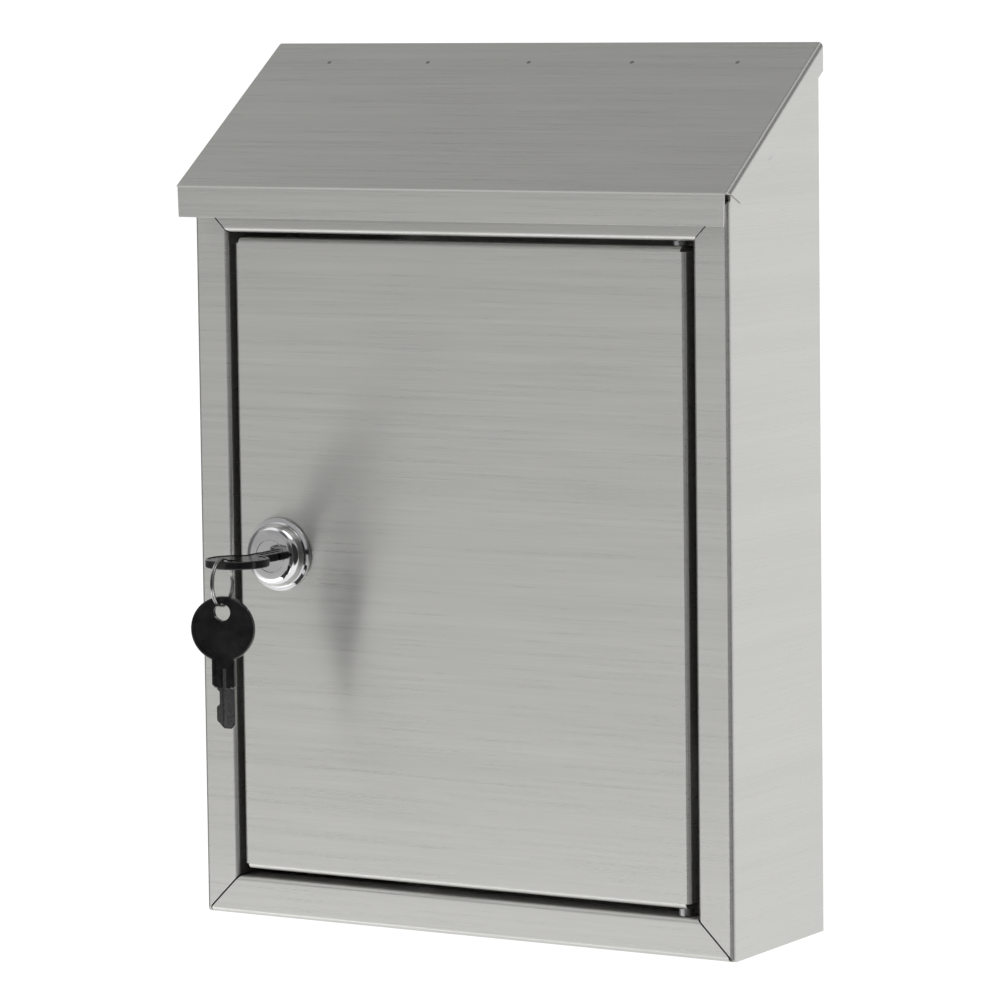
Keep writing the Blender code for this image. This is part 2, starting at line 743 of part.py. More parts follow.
clear_scene()
PARTS = new_collection("wall_mailbox")
CUTTERS = new_collection("cutters")

build_side_panel("left_side_panel", -1)
build_side_panel("right_side_panel", 1)
build_back_panel()
build_bottom_panel()
build_header_rail()
build_side_rivets()
build_pivots()

lid_axis = new_axis("lid_axis", (0, HINGE_Y, HINGE_Z), (SLOPE, 0, 0))
build_lid(lid_axis)
build_hinge(lid_axis)

door_axis = new_axis("door_axis", (PIVOT_X, PIVOT_Y, 0))
plug_axis = new_axis("plug_axis", (LOCK_X - PIVOT_X, -DEPTH - PIVOT_Y, LOCK_Z), parent=door_axis)
build_door(door_axis)
build_lock(door_axis, plug_axis)
build_keys(plug_axis)
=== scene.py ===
"""Looks of the wall mounted mailbox: folded brushed sheets, a chrome cam lock, two keys and soft light."""

import json
import math

import bmesh
import bpy
from mathutils import Euler, Matrix, Vector


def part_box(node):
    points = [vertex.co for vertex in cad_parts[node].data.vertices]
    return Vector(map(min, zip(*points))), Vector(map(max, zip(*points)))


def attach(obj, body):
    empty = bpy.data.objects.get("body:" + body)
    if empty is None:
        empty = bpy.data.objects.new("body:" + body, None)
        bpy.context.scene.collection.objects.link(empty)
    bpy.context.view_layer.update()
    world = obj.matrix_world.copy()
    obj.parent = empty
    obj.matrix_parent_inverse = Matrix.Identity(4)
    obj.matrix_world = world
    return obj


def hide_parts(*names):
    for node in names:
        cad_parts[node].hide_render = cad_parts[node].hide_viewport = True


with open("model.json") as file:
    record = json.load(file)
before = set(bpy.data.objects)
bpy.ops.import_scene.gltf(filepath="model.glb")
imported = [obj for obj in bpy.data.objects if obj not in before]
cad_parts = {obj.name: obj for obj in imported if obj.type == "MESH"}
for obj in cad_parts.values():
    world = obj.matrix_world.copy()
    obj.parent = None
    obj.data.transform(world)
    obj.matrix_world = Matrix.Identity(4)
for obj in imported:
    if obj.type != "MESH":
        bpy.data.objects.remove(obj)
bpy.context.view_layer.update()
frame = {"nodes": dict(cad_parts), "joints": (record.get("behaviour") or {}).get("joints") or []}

MM = 0.001
scene = bpy.context.scene
UP = Vector((0, 0, 1))

# Camera, at the photograph's angle

camera_data = bpy.data.cameras.new("camera")
camera_data.sensor_width = 36
camera_data.lens = 186.74
camera_data.clip_start = 0.05
camera_data.clip_end = 50
camera = bpy.data.objects.new("camera", camera_data)
camera.location = (1.0380, -1.7773, 0.2065)
camera.rotation_euler = Euler(tuple(math.radians(a) for a in (84.056, 0.705, 30.805)))
scene.collection.objects.link(camera)
scene.camera = camera
scene.view_settings.view_transform = "Standard"
scene.view_settings.look = "None"

# Sizes, as in the CAD

WIDTH = 240 * MM
DEPTH = 74 * MM
FRONT_HEIGHT = 288.5 * MM
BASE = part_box("bottom_panel")[0].z
SHEET = 1.0 * MM
BEND = 2.0 * MM
FRAME = 15.5 * MM
RETURN = 12 * MM
FIT = 0.3 * MM
MITRE_GAP = 0.4 * MM
REAR_FLANGE = 11 * MM
BACK_HEIGHT = 342.4 * MM
SIDE_HEIGHT = 342.7 * MM
CROWN_Y = -6.85 * MM
HALF = WIDTH / 2
INNER = HALF - SHEET - FIT
SLOPE = math.radians(35.4)
CURL = 1.6 * MM
LID_RISE = CURL + FIT + SHEET
LID_LENGTH = 94.7 * MM
LID_OVERHANG = 4.5 * MM
LIP_HEIGHT = 12 * MM
LIP_TAPER = 0.04
LID_FLANGE = 9 * MM
FLANGE_CHAMFER = 0.55
DOOR_RETURN = 10 * MM
PIVOT_RADIUS = 1.5 * MM
BEND_STEPS = 12
EDGE_BEVEL = 0.14 * MM
HEADER_SHELF = 6 * MM
SHELF_INSET = 2 * MM
BACK_FLANGE_LOW = 1.5 * MM
BACK_FLANGE_HIGH = 30 * MM
WALL_HOLE_RADIUS = 3 * MM
WALL_HOLE_X = 70 * MM
WALL_HOLE_HEIGHTS = (60 * MM, 290 * MM)
THROUGH = 6 * MM
BARREL_RADIUS = 9.3 * MM
BARREL_DEPTH = 12 * MM

# The row of spot welds, which only the visual shows

WELDS = 5
WELD_PITCH = 46.5 * MM
WELD_INSET = 13 * MM             # from the lid's hinge axis, down the slope
WELD_CROWN = [(0, 0.10 * MM), (0.5 * MM, 0.08 * MM), (0.85 * MM, 0.03 * MM), (1.0 * MM, -0.05 * MM)]

JOINTS = {joint["name"]: Vector(joint["pos_m"]) for joint in frame["joints"] if "pos_m" in joint}


# Node helpers


def new_material(name, colour, roughness, metallic=1.0):
    """A material, with its node tree and its principled shader."""
    material = bpy.data.materials.new(name)
    material.use_nodes = True
    shader = material.node_tree.nodes["Principled BSDF"]
    shader.inputs["Base Color"].default_value = (*colour, 1)
    shader.inputs["Roughness"].default_value = roughness
    shader.inputs["Metallic"].default_value = metallic
    return material, material.node_tree, shader


def noise(tree, source, scale, detail=3.0, roughness=0.6, stretch=(1, 1, 1)):
    mapping = tree.nodes.new("ShaderNodeMapping")
    mapping.inputs["Scale"].default_value = stretch
    texture = tree.nodes.new("ShaderNodeTexNoise")
    texture.inputs["Scale"].default_value = scale
    texture.inputs["Detail"].default_value = detail
    texture.inputs["Roughness"].default_value = roughness
    tree.links.new(source, mapping.inputs["Vector"])
    tree.links.new(mapping.outputs["Vector"], texture.inputs["Vector"])
    return texture.outputs["Fac"]


def spread(tree, value, low, high, from_low=0.3, from_high=0.7):
    node = tree.nodes.new("ShaderNodeMapRange")
    node.inputs["From Min"].default_value = from_low
    node.inputs["From Max"].default_value = from_high
    node.inputs["To Min"].default_value = low
    node.inputs["To Max"].default_value = high
    tree.links.new(value, node.inputs["Value"])
    return node.outputs["Result"]


def maths(tree, operation, a, b):
    node = tree.nodes.new("ShaderNodeMath")
    node.operation = operation
    for socket, value in zip(node.inputs, (a, b)):
        if isinstance(value, (int, float)):
            socket.default_value = value
        else:
            tree.links.new(value, socket)
    return node.outputs["Value"]


def blend_colours(tree, factor, low, high):
    """A mix of two colours; sockets 6 and 7 are the node's two colour inputs."""
    node = tree.nodes.new("ShaderNodeMix")
    node.data_type = "RGBA"
    node.inputs[6].default_value = (*low, 1)
    node.inputs[7].default_value = (*high, 1)
    tree.links.new(factor, node.inputs["Factor"])
    return node.outputs[2]


def bump(tree, shader, height, distance):
    node = tree.nodes.new("ShaderNodeBump")
    node.inputs["Strength"].default_value = 1.0
    node.inputs["Distance"].default_value = distance
    tree.links.new(height, node.inputs["Height"])
    tree.links.new(node.outputs["Normal"], shader.inputs["Normal"])


def brushed_steel():
    """Brushed stainless sheet: the grain runs along U of the brush map and smears reflections across it."""
    material, tree, shader = new_material("brushed_stainless", (0.60, 0.60, 0.58), 0.36, 0.85)
    shader.inputs["Anisotropic"].default_value = 0.97
    shader.inputs["Anisotropic Rotation"].default_value = 0.25
    tangent = tree.nodes.new("ShaderNodeTangent")
    tangent.direction_type = "UV_MAP"
    tangent.uv_map = "brush"
    tree.links.new(tangent.outputs["Tangent"], shader.inputs["Tangent"])
    uv = tree.nodes.new("ShaderNodeUVMap")
    uv.uv_map = "brush"
    source = uv.outputs["UV"]
    fine = noise(tree, source, 1.0, 2, 0.7, (24, 3400, 1))
    streaks = noise(tree, source, 1.0, 3, 0.6, (7, 620, 1))
    wide = noise(tree, source, 1.0, 2, 0.5, (3, 70, 1))
    cloud = noise(tree, source, 1.0, 2, 0.5, (9, 13, 1))
    grain = maths(tree, "ADD", maths(tree, "MULTIPLY", fine, 0.5), maths(tree, "MULTIPLY", streaks, 0.5))
    tone = maths(tree, "ADD", maths(tree, "MULTIPLY", grain, 0.7), maths(tree, "MULTIPLY", wide, 0.3))
    colour = blend_colours(tree, spread(tree, tone, 0, 1), (0.545, 0.543, 0.520), (0.655, 0.652, 0.627))
    tree.links.new(colour, shader.inputs["Base Color"])
    rough = maths(tree, "ADD", spread(tree, grain, 0.25, 0.35), spread(tree, cloud, -0.012, 0.012))
    tree.links.new(rough, shader.inputs["Roughness"])
    bump(tree, shader, grain, 0.000012)
    return material


def plain_steel(name, colour, roughness, scale=900):
    """Plain rolled or turned steel with faint scuffs."""
    material, tree, shader = new_material(name, colour, roughness)
    source = tree.nodes.new("ShaderNodeTexCoord").outputs["Object"]
    scuffs = noise(tree, source, scale, 4, 0.65)
    cloud = noise(tree, source, 60, 2, 0.5)
    dark = tuple(0.84 * c for c in colour)
    light = tuple(min(1, 1.06 * c) for c in colour)
    tree.links.new(blend_colours(tree, spread(tree, cloud, 0, 1), dark, light), shader.inputs["Base Color"])
    tree.links.new(spread(tree, scuffs, roughness - 0.06, roughness + 0.09), shader.inputs["Roughness"])
    bump(tree, shader, scuffs, 0.00001)
    return material


def polished_chrome():
    """Polished chrome with hairline handling marks."""
    material, tree, shader = new_material("polished_chrome", (0.78, 0.78, 0.79), 0.05)
    source = tree.nodes.new("ShaderNodeTexCoord").outputs["Object"]
    hairs = noise(tree, source, 1.0, 3, 0.6, (500, 500, 5200))
    cloud = noise(tree, source, 190, 2, 0.5)
    tree.links.new(spread(tree, hairs, 0.03, 0.10), shader.inputs["Roughness"])
    colour = blend_colours(tree, spread(tree, cloud, 0, 1), (0.74, 0.74, 0.755), (0.82, 0.82, 0.825))
    tree.links.new(colour, shader.inputs["Base Color"])
    bump(tree, shader, hairs, 0.000002)
    return material


def black_plastic():
    """Moulded black plastic with a fine texture, slightly polished by handling."""
    material, tree, shader = new_material("black_plastic", (0.012, 0.012, 0.013), 0.3, 0.0)
    shader.inputs["IOR"].default_value = 1.5
    source = tree.nodes.new("ShaderNodeTexCoord").outputs["Object"]
    grain = noise(tree, source, 2600, 3, 0.6)
    wear = noise(tree, source, 150, 3, 0.6)
    colour = blend_colours(tree, spread(tree, wear, 0, 1), (0.009, 0.009, 0.010), (0.020, 0.020, 0.021))
    tree.links.new(colour, shader.inputs["Base Color"])
    tree.links.new(spread(tree, wear, 0.08, 0.22), shader.inputs["Roughness"])
    bump(tree, shader, grain, 0.000008)
    return material


STAINLESS = brushed_steel()
HARDWARE = plain_steel("bright_steel", (0.58, 0.58, 0.58), 0.30)
CHROME = polished_chrome()
NICKEL = plain_steel("nickel_plate", (0.46, 0.46, 0.455), 0.13, 1500)
PLASTIC = black_plastic()
# The spot welds' dark colour is painted shade: it stands in for the shade in each weld's shallow dimple.
WELD_PAINTED_SHADE = plain_steel("weld_painted_shade", (0.30, 0.295, 0.285), 0.42)


# Mesh helpers


def to_mesh(name, bm):
    mesh = bpy.data.meshes.new(name)
    bm.to_mesh(mesh)
    bm.free()
    return mesh


def freeze(holder):
    """The holder's mesh with its modifiers applied; the holder goes."""
    evaluated = holder.evaluated_get(bpy.context.evaluated_depsgraph_get())
    mesh = bpy.data.meshes.new_from_object(evaluated)
    bpy.data.objects.remove(holder)
    return mesh


def holder_of(mesh):
    holder = bpy.data.objects.new("holder", mesh)
    scene.collection.objects.link(holder)
    return holder


def box_mesh(size, centre=(0, 0, 0)):
    bm = bmesh.new()
    bmesh.ops.create_cube(bm, size=1, matrix=Matrix.Translation(centre) @ Matrix.Diagonal((*size, 1)))
    return to_mesh("box", bm)


def rod_mesh(radius, length, matrix, segments=64):
    bm = bmesh.new()
    bmesh.ops.create_cone(
        bm, cap_ends=True, segments=segments, radius1=radius, radius2=radius, depth=length, matrix=matrix
    )
    return to_mesh("rod", bm)


def cut_all(mesh, cutters, operation="DIFFERENCE"):
    """The mesh with every cutter taken from it, or joined to it by a UNION."""
    holder = holder_of(mesh)
    helpers = [holder_of(cutter) for cutter in cutters]
    for helper in helpers:
        boolean = holder.modifiers.new("Cut", "BOOLEAN")
        boolean.operation = operation
        boolean.solver = "EXACT"
        boolean.object = helper
    result = freeze(holder)
    for helper in helpers:
        bpy.data.objects.remove(helper)
    return result


def bevelled(mesh, width, segments=2, angle=40):
    holder = holder_of(mesh)
    bevel = holder.modifiers.new("Bevel", "BEVEL")
    bevel.width = width
    bevel.segments = segments
    bevel.limit_method = "ANGLE"
    bevel.angle_limit = math.radians(angle)
    return freeze(holder)


def brush_map(mesh):
    """A map whose U runs along the level grain of each face and V across it, both in metres."""
    layer = mesh.uv_layers.new(name="brush")
    for face in mesh.polygons:
        along = UP.cross(face.normal)
        along = along.normalized() if along.length > 0.2 else Vector((1, 0, 0))
        across = face.normal.cross(along)
        for k in face.loop_indices:
            place = mesh.vertices[mesh.loops[k].vertex_index].co
            layer.data[k].uv = (place.dot(along), place.dot(across))


def add_piece(name, mesh, material, body, nodes=(), smooth=50):
    """A finished piece, with its mesh in the row frame."""
    mesh.name = name
    mesh.materials.clear()
    mesh.materials.append(material)
    mesh.shade_smooth()
    mesh.set_sharp_from_angle(angle=math.radians(smooth))
    piece = bpy.data.objects.new(name, mesh)
    scene.collection.objects.link(piece)
    weighted = piece.modifiers.new("Normals", "WEIGHTED_NORMAL")
    weighted.keep_sharp = True
    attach(piece, body)
    if nodes:
        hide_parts(*nodes)
    return piece


# Folded sheets


def fold_path(steps, radius):
    """Rows of a fold as (outward, drop) from the plate's edge; a step is (angle bent, length of flat)."""
    rows = []
    outward = drop = angle = 0.0
    for bend, flat in steps:
        for k in range(1, BEND_STEPS + 1):
            turned = angle + bend * k / BEND_STEPS
            rows.append(
                (
                    outward + radius * (math.sin(turned) - math.sin(angle)),
                    drop + radius * (math.cos(angle) - math.cos(turned)),
                )
            )
        angle += bend
        outward, drop = rows[-1]
        if flat:
            outward += flat * math.cos(angle)
            drop += flat * math.sin(angle)
            rows.append((outward, drop))
    return rows


def add_fold(bm, start, end, rows, start_inset, end_inset):
    """Extrude the plate's edge from start to end along the rows; an inset is a function of the drop."""
    first, last = start.co.copy(), end.co.copy()
    along = (last - first).normalized()
    away = along.cross(UP)
    edge = bm.edges.get((start, end))
    for outward, drop in rows:
        before = min(edge.verts, key=lambda v: (v.co - first).dot(along)).co.copy()
        made = bmesh.ops.extrude_edge_only(bm, edges=[edge])["geom"]
        edge = next(item for item in made if isinstance(item, bmesh.types.BMEdge))
        near = min(edge.verts, key=lambda v: (v.co - before).length)
        far = edge.other_vert(near)
        shift = away * outward - Vector((0, 0, drop))
        near.co = first + shift + along * start_inset(drop)
        far.co = last + shift - along * end_inset(drop)


def folded_mesh(outline, folds, matrix, cutters=()):
    """A thick folded sheet in the row frame, from a plate in the local XY plane whose outer face is up."""
    bm = bmesh.new()
    corners = [bm.verts.new((x, y, 0)) for x, y in outline]
    plate = bmesh.ops.contextual_create(bm, geom=corners)["faces"][0]
    if plate.normal.z < 0:
        plate.normal_flip()
    for index, (steps, start_inset, end_inset) in folds.items():
        end = corners[(index + 1) % len(corners)]
        add_fold(bm, corners[index], end, fold_path(steps, BEND), start_inset, end_inset)
    bmesh.ops.recalc_face_normals(bm, faces=bm.faces)
    bm.faces.ensure_lookup_table()
    if bm.faces[0].normal.z < 0:
        bmesh.ops.reverse_faces(bm, faces=bm.faces)
    holder = holder_of(to_mesh("sheet", bm))
    solidify = holder.modifiers.new("Sheet", "SOLIDIFY")
    solidify.thickness = SHEET
    solidify.offset = -1
    solidify.use_even_offset = True
    mesh = bevelled(freeze(holder), EDGE_BEVEL)
    mesh.transform(matrix)
    if cutters:
        mesh = cut_all(mesh, cutters)
    brush_map(mesh)
    return mesh


# Insets of a fold's ends, as functions of the drop


def square(inset=0.0):
    return lambda drop: inset


def mitred():
    return lambda drop: drop + MITRE_GAP


def tapered(slope):
    return lambda drop: slope * drop


def placed(location, rotation):
    return Matrix.LocRotScale(Vector(location), Euler(rotation), None)


def add_sheet(name, mesh, node, body):
    return add_piece(name, mesh, STAINLESS, body, [node])


QUARTER = math.pi / 2
FRAME_STEPS = [(QUARTER, FRAME - 2 * BEND), (QUARTER, RETURN - BEND)]
PIVOT = JOINTS["door_hinge"]


def pivot_cutter(height):
    return rod_mesh(PIVOT_RADIUS + FIT, THROUGH, Matrix.Translation((PIVOT.x, PIVOT.y, height)), 32)


def add_side(side, name, node):
    front = side * (-DEPTH + BEND)
    front_height = SIDE_HEIGHT - (DEPTH + CROWN_Y) * math.tan(SLOPE)
    outline = [
        (0, 0),
        (front, 0),
        (front, FRONT_HEIGHT),
        (front, front_height),
        (side * CROWN_Y, SIDE_HEIGHT),
        (0, SIDE_HEIGHT),
    ]
    edge = 1
    if side > 0:
        outline.reverse()
        edge = 3
    matrix = placed((side * HALF, 0, BASE), (QUARTER, 0, side * QUARTER))
    add_sheet(name, folded_mesh(outline, {edge: (FRAME_STEPS, mitred(), mitred())}, matrix), node, "box")


def add_back():
    half = INNER - BEND
    flange = [(QUARTER, REAR_FLANGE - BEND)]
    low, high = square(BACK_FLANGE_LOW), square(BACK_FLANGE_HIGH)
    holes = [
        rod_mesh(WALL_HOLE_RADIUS, THROUGH, placed((x, 0, BASE + z), (QUARTER, 0, 0)), 40)
        for x in (-WALL_HOLE_X, WALL_HOLE_X)
        for z in WALL_HOLE_HEIGHTS
    ]
    outline = [(-half, 0), (half, 0), (half, BACK_HEIGHT), (-half, BACK_HEIGHT)]
    folds = {1: (flange, low, high), 3: (flange, high, low)}
    matrix = placed((0, 0, BASE), (QUARTER, 0, math.pi))
    add_sheet("shell_back", folded_mesh(outline, folds, matrix, holes), "back_panel", "box")


def add_bottom():
    def rail_end(drop):
        return max(drop, BEND) + MITRE_GAP - (HALF - INNER)

    front, rear = DEPTH - BEND, SHEET + FIT + BEND
    outline = [(-INNER, rear), (INNER, rear), (INNER, front), (-INNER, front)]
    side_gap = square(SHEET + FIT)
    folds = {
        0: ([(QUARTER, REAR_FLANGE - BEND)], side_gap, side_gap),
        2: (FRAME_STEPS, rail_end, rail_end),
    }
    mesh = folded_mesh(outline, folds, placed((0, 0, BASE), (math.pi, 0, 0)), [pivot_cutter(BASE + FRAME)])
    add_sheet("shell_bottom", mesh, "bottom_panel", "box")


def add_header():
    def return_end(drop):
        return min(drop, BEND) + MITRE_GAP

    low_half = HALF - FRAME + BEND
    high_half = HALF - BEND - MITRE_GAP
    low, high = -FRAME + BEND, -BEND
    outline = [(-low_half, low), (low_half, low), (high_half, high), (-high_half, high)]
    shelf_end = square(SHELF_INSET)
    folds = {
        0: ([(QUARTER, RETURN - BEND)], return_end, return_end),
        2: ([(QUARTER, HEADER_SHELF)], shelf_end, shelf_end),
    }
    matrix = placed((0, -DEPTH, BASE + FRONT_HEIGHT), (QUARTER, 0, 0))
    mesh = folded_mesh(outline, folds, matrix, [pivot_cutter(BASE + FRONT_HEIGHT - FRAME)])
    add_sheet("shell_header", mesh, "header_rail", "box")


def add_lid():
    """The lid, and the row of spot welds that show faintly near its rear edge."""
    half = HALF + LID_OVERHANG - BEND
    lip_bend = QUARTER - SLOPE
    setback = BEND * math.tan(lip_bend / 2)
    front = -LID_LENGTH + setback
    flange = [(QUARTER, LID_FLANGE - BEND)]
    rear_cut, front_cut = tapered(math.tan(SLOPE)), tapered(FLANGE_CHAMFER)
    outline = [(-half, front), (half, front), (half, 0), (-half, 0)]
    folds = {
        0: ([(lip_bend, LIP_HEIGHT - setback)], tapered(LIP_TAPER), tapered(LIP_TAPER)),
        1: (flange, front_cut, rear_cut),
        3: (flange, rear_cut, front_cut),
    }
    hinge = placed(JOINTS["lid_hinge"], (SLOPE, 0, 0))
    matrix = hinge @ Matrix.Translation((0, 0, LID_RISE))
    add_sheet("shell_lid", folded_mesh(outline, folds, matrix), "lid_sheet", "lid")
    # Each weld is a low raised lens whose dark colour is painted shade of a dimple.
    for k in range(WELDS):
        at = matrix @ Matrix.Translation(((k - WELDS // 2) * WELD_PITCH, -WELD_INSET, 0))
        add_piece(f"lid_weld_{k + 1}", turned_mesh(WELD_CROWN, at, 32), WELD_PAINTED_SHADE, "lid")


def add_door():
    low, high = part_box("door_sheet")
    width, height = high.x - low.x, high.z - low.z
    edge = [(QUARTER, DOOR_RETURN - BEND)]
    right, top = width / 2 - BEND, height / 2 - BEND
    outline = [(-right, -top), (right, -top), (right, top), (-right, top)]
    centre = ((low.x + high.x) / 2, low.y, (low.z + high.z) / 2)
    lock = JOINTS["lock_turn"]
    bore = rod_mesh(BARREL_RADIUS + FIT, 8 * MM, placed((lock.x, low.y, lock.z), (QUARTER, 0, 0)), 64)
    mesh = folded_mesh(
        outline,
        {k: (edge, square(), square()) for k in range(4)},
        placed(centre, (QUARTER, 0, 0)),
        [pivot_cutter(low.z), pivot_cutter(high.z), bore],
    )
    add_sheet("shell_door", mesh, "door_sheet", "door")


# Turned pieces of the lock


def turned_mesh(profile, matrix, segments=96, closed=False):
    """The profile, as (radius, height), swept about local Z."""
    bm = bmesh.new()
    points = [bm.verts.new((r, 0, z)) for r, z in profile]
    edges = [bm.edges.new(pair) for pair in zip(points, points[1:])]
    if closed:
        edges.append(bm.edges.new((points[-1], points[0])))
    bmesh.ops.spin(
        bm, geom=points + edges, cent=(0, 0, 0), axis=(0, 0, 1), angle=2 * math.pi, steps=segments
    )
    bmesh.ops.remove_doubles(bm, verts=bm.verts, dist=0.002 * MM)
    bmesh.ops.recalc_face_normals(bm, faces=bm.faces)
    mesh = to_mesh("turned", bm)
    mesh.transform(matrix)
    return mesh


LOCK = JOINTS["lock_turn"]
LOCK_PROUD = LOCK.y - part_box("lock_plug")[0].y
PLUG_RADIUS = 6.35 * MM
PLUG_FIT = 0.1 * MM
PLUG_CHAMFER = 0.06 * MM
STUD_RADIUS = 3.5 * MM
DOME_RADIUS = 12.9 * MM
DOME_RUN = 3.6 * MM
DOME_FOOT = 1.7 * MM
DOME_RISE = 5.6 * MM
DOME_ANGLE = 75
DOME_STEPS = 16
RIM_RADIUS = 14.5 * MM
KEYWAY_WIDTH = 8.0 * MM
KEYWAY_DEPTH = 18.5 * MM
KEYWAY_HEIGHT = 2.6 * MM


def add_housing():
    """The barrel and its bezel: a flat ring round the plug, the dome, and a thin rounded rim on the door."""
    bore = PLUG_RADIUS + PLUG_FIT
    dome = []
    for k in range(DOME_STEPS, -1, -1):
        a = math.radians(DOME_ANGLE * k / DOME_STEPS)
        dome.append((DOME_RADIUS - DOME_RUN * (1 - math.cos(a)), DOME_FOOT + DOME_RISE * math.sin(a)))
    profile = [
        (bore, LOCK_PROUD - PLUG_CHAMFER),
        (bore + PLUG_CHAMFER, LOCK_PROUD),
        (8.9 * MM, LOCK_PROUD),
        (9.3 * MM, LOCK_PROUD - 0.08 * MM),
        *dome,
        (14.0 * MM, 1.5 * MM),
        (14.3 * MM, 1.42 * MM),
        (14.45 * MM, 1.2 * MM),
        (RIM_RADIUS, 0.9 * MM),
        (RIM_RADIUS, FIT),
        (BARREL_RADIUS, FIT),
        (BARREL_RADIUS, -BARREL_DEPTH),
        (bore, -BARREL_DEPTH),
    ]
    matrix = placed(LOCK, (QUARTER, 0, 0))
    case = turned_mesh(profile, matrix, 128, True)
    add_piece("lock_case", case, CHROME, "door", ["lock_housing"], 35)


def add_plug():
    """The plug with its keyway, and the stud behind it that carries the cam."""
    end = LOCK.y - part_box("lock_plug")[1].y
    profile = [
        (0, LOCK_PROUD),
        (PLUG_RADIUS - PLUG_CHAMFER, LOCK_PROUD),
        (PLUG_RADIUS, LOCK_PROUD - PLUG_CHAMFER),
        (PLUG_RADIUS, -BARREL_DEPTH),
        (STUD_RADIUS, -BARREL_DEPTH),
        (STUD_RADIUS, end + 0.4 * MM),
        (3.1 * MM, end),
        (0, end),
    ]
    body = turned_mesh(profile, placed(LOCK, (QUARTER, 0, 0)), 96)
    blade = (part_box("key_blade")[0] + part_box("key_blade")[1]) / 2
    size = (KEYWAY_WIDTH, 2 * KEYWAY_DEPTH, KEYWAY_HEIGHT)
    keyway = box_mesh(size, (blade.x, LOCK.y - LOCK_PROUD, LOCK.z))
    add_piece("lock_core", cut_all(body, [keyway]), CHROME, "lock_plug", ["lock_plug"], 35)


# Keys, built flat in the local XY plane with the tip towards +Y, from the shoulder that meets the lock

BLADE_LENGTH = 16.0 * MM
BLADE_SHIFT = 0.9 * MM
HALF_BLADE = 3.7 * MM
HALF_NECK = 4.55 * MM
HEAD_RADIUS = 12.75 * MM
HEAD_CENTRE = 23 * MM
EYE_CENTRE = 29.6 * MM
EYE_RADIUS = 3.4 * MM
BLADE_THICKNESS = 2.0 * MM
TANG_WIDTH = 5 * MM
TANG_LENGTH = 9 * MM
TANG_ROOT = 0.6 * MM
TANG_THICKNESS = 1.2 * MM
HEAD_THICKNESS = 3.2 * MM
HEAD_ROUNDING = 0.7 * MM
RIM_WIDTH = 1.4 * MM
SINK = 0.5 * MM
TIP_SLANT = 1.4 * MM
NECK_SLANT = 1.2 * MM
GROOVE_X = 0.35 * MM
GROOVE_WIDTH = 1.5 * MM
GROOVE_DEPTH = 0.45 * MM
GROOVE_CUT = 60 * MM             # length of its cutter, longer than the blade
WINDOW_WIDTH = 1.9 * MM          # of the slot in the neck
WINDOW_LENGTH = 7.6 * MM
WINDOW_CUT = 1.2 * MM
WINDOW_MIDDLE = 1.35 * MM        # height of its cutter's middle
SPARE_TURN = math.radians(16)


def plate_mesh(points, thickness):
    bm = bmesh.new()
    face = bm.faces.new([bm.verts.new((x, y, -thickness / 2)) for x, y in points])
    made = bmesh.ops.extrude_face_region(bm, geom=[face])["geom"]
    top = [v for v in made if isinstance(v, bmesh.types.BMVert)]
    bmesh.ops.translate(bm, verts=top, vec=(0, 0, thickness))
    bmesh.ops.recalc_face_normals(bm, faces=bm.faces)
    return to_mesh("plate", bm)


def blade_outline():
    left, right = BLADE_SHIFT - HALF_BLADE, BLADE_SHIFT + HALF_BLADE
    cuts = [(2.8, 0), (1.9, 1.2), (1.2, 2.0), (0.2, 2.9), (0, 3.4), (0, 8.5), (1.2, 9.6), (1.2, 14.4)]
    tip = [(right, BLADE_LENGTH - TIP_SLANT), (right - TIP_SLANT, BLADE_LENGTH)]
    points = [(left, FIT), (right, FIT), *tip]
    return points + [(left + inset * MM, BLADE_LENGTH - back * MM) for inset, back in cuts]


def head_outline(grow=0.0, steps=120):
    """The bow and its neck, grown outwards by grow."""
    radius, half = HEAD_RADIUS + grow, HALF_NECK + grow
    join = math.asin(half / radius)
    angles = [join + (2 * math.pi - 2 * join) * k / steps for k in range(steps + 1)]
    arc = [(radius * math.sin(a), radius * math.cos(a) - HEAD_CENTRE) for a in angles]
    return [(-half, -NECK_SLANT + grow), (-half + NECK_SLANT, -grow), (half, -grow), *arc]


def add_key(prefix, body, nodes, matrix):
    """A grooved blade, and a bow with a sunk face inside its rim and a slot that shows the groove."""
    blade = plate_mesh(blade_outline(), BLADE_THICKNESS)
    span = TANG_LENGTH + TANG_ROOT
    tang = box_mesh((TANG_WIDTH, span, TANG_THICKNESS), (0, TANG_ROOT - span / 2, 0))
    blade = cut_all(blade, [tang], "UNION")
    size = (GROOVE_WIDTH, GROOVE_CUT, 2 * GROOVE_DEPTH)
    groove = [box_mesh(size, (GROOVE_X, 0, side * BLADE_THICKNESS / 2)) for side in (-1, 1)]
    blade = bevelled(cut_all(blade, groove), 0.12 * MM)
    blade.transform(matrix)
    add_piece(f"{prefix}_metal", blade, NICKEL, body, [nodes[0]], 35)

    head = bevelled(plate_mesh(head_outline(), HEAD_THICKNESS), HEAD_ROUNDING, 5)
    eye = rod_mesh(EYE_RADIUS, THROUGH, Matrix.Translation((0, -EYE_CENTRE, 0)))
    pocket = box_mesh((TANG_WIDTH + 2 * FIT, 2 * (TANG_LENGTH + FIT), TANG_THICKNESS + 2 * FIT))
    size = (WINDOW_WIDTH, WINDOW_LENGTH, WINDOW_CUT)
    window = [box_mesh(size, (GROOVE_X, -WINDOW_LENGTH / 2, side * WINDOW_MIDDLE)) for side in (-1, 1)]
    sunk = [plate_mesh(head_outline(-RIM_WIDTH), SINK) for side in (-1, 1)]
    for side, plate in zip((-1, 1), sunk):
        plate.transform(Matrix.Translation((0, 0, side * HEAD_THICKNESS / 2)))
    head = bevelled(cut_all(head, [*sunk, eye, pocket, *window]), 0.12 * MM, 3, 50)
    head.transform(matrix)
    add_piece(f"{prefix}_bow", head, PLASTIC, body, [nodes[1]], 45)


# The split ring

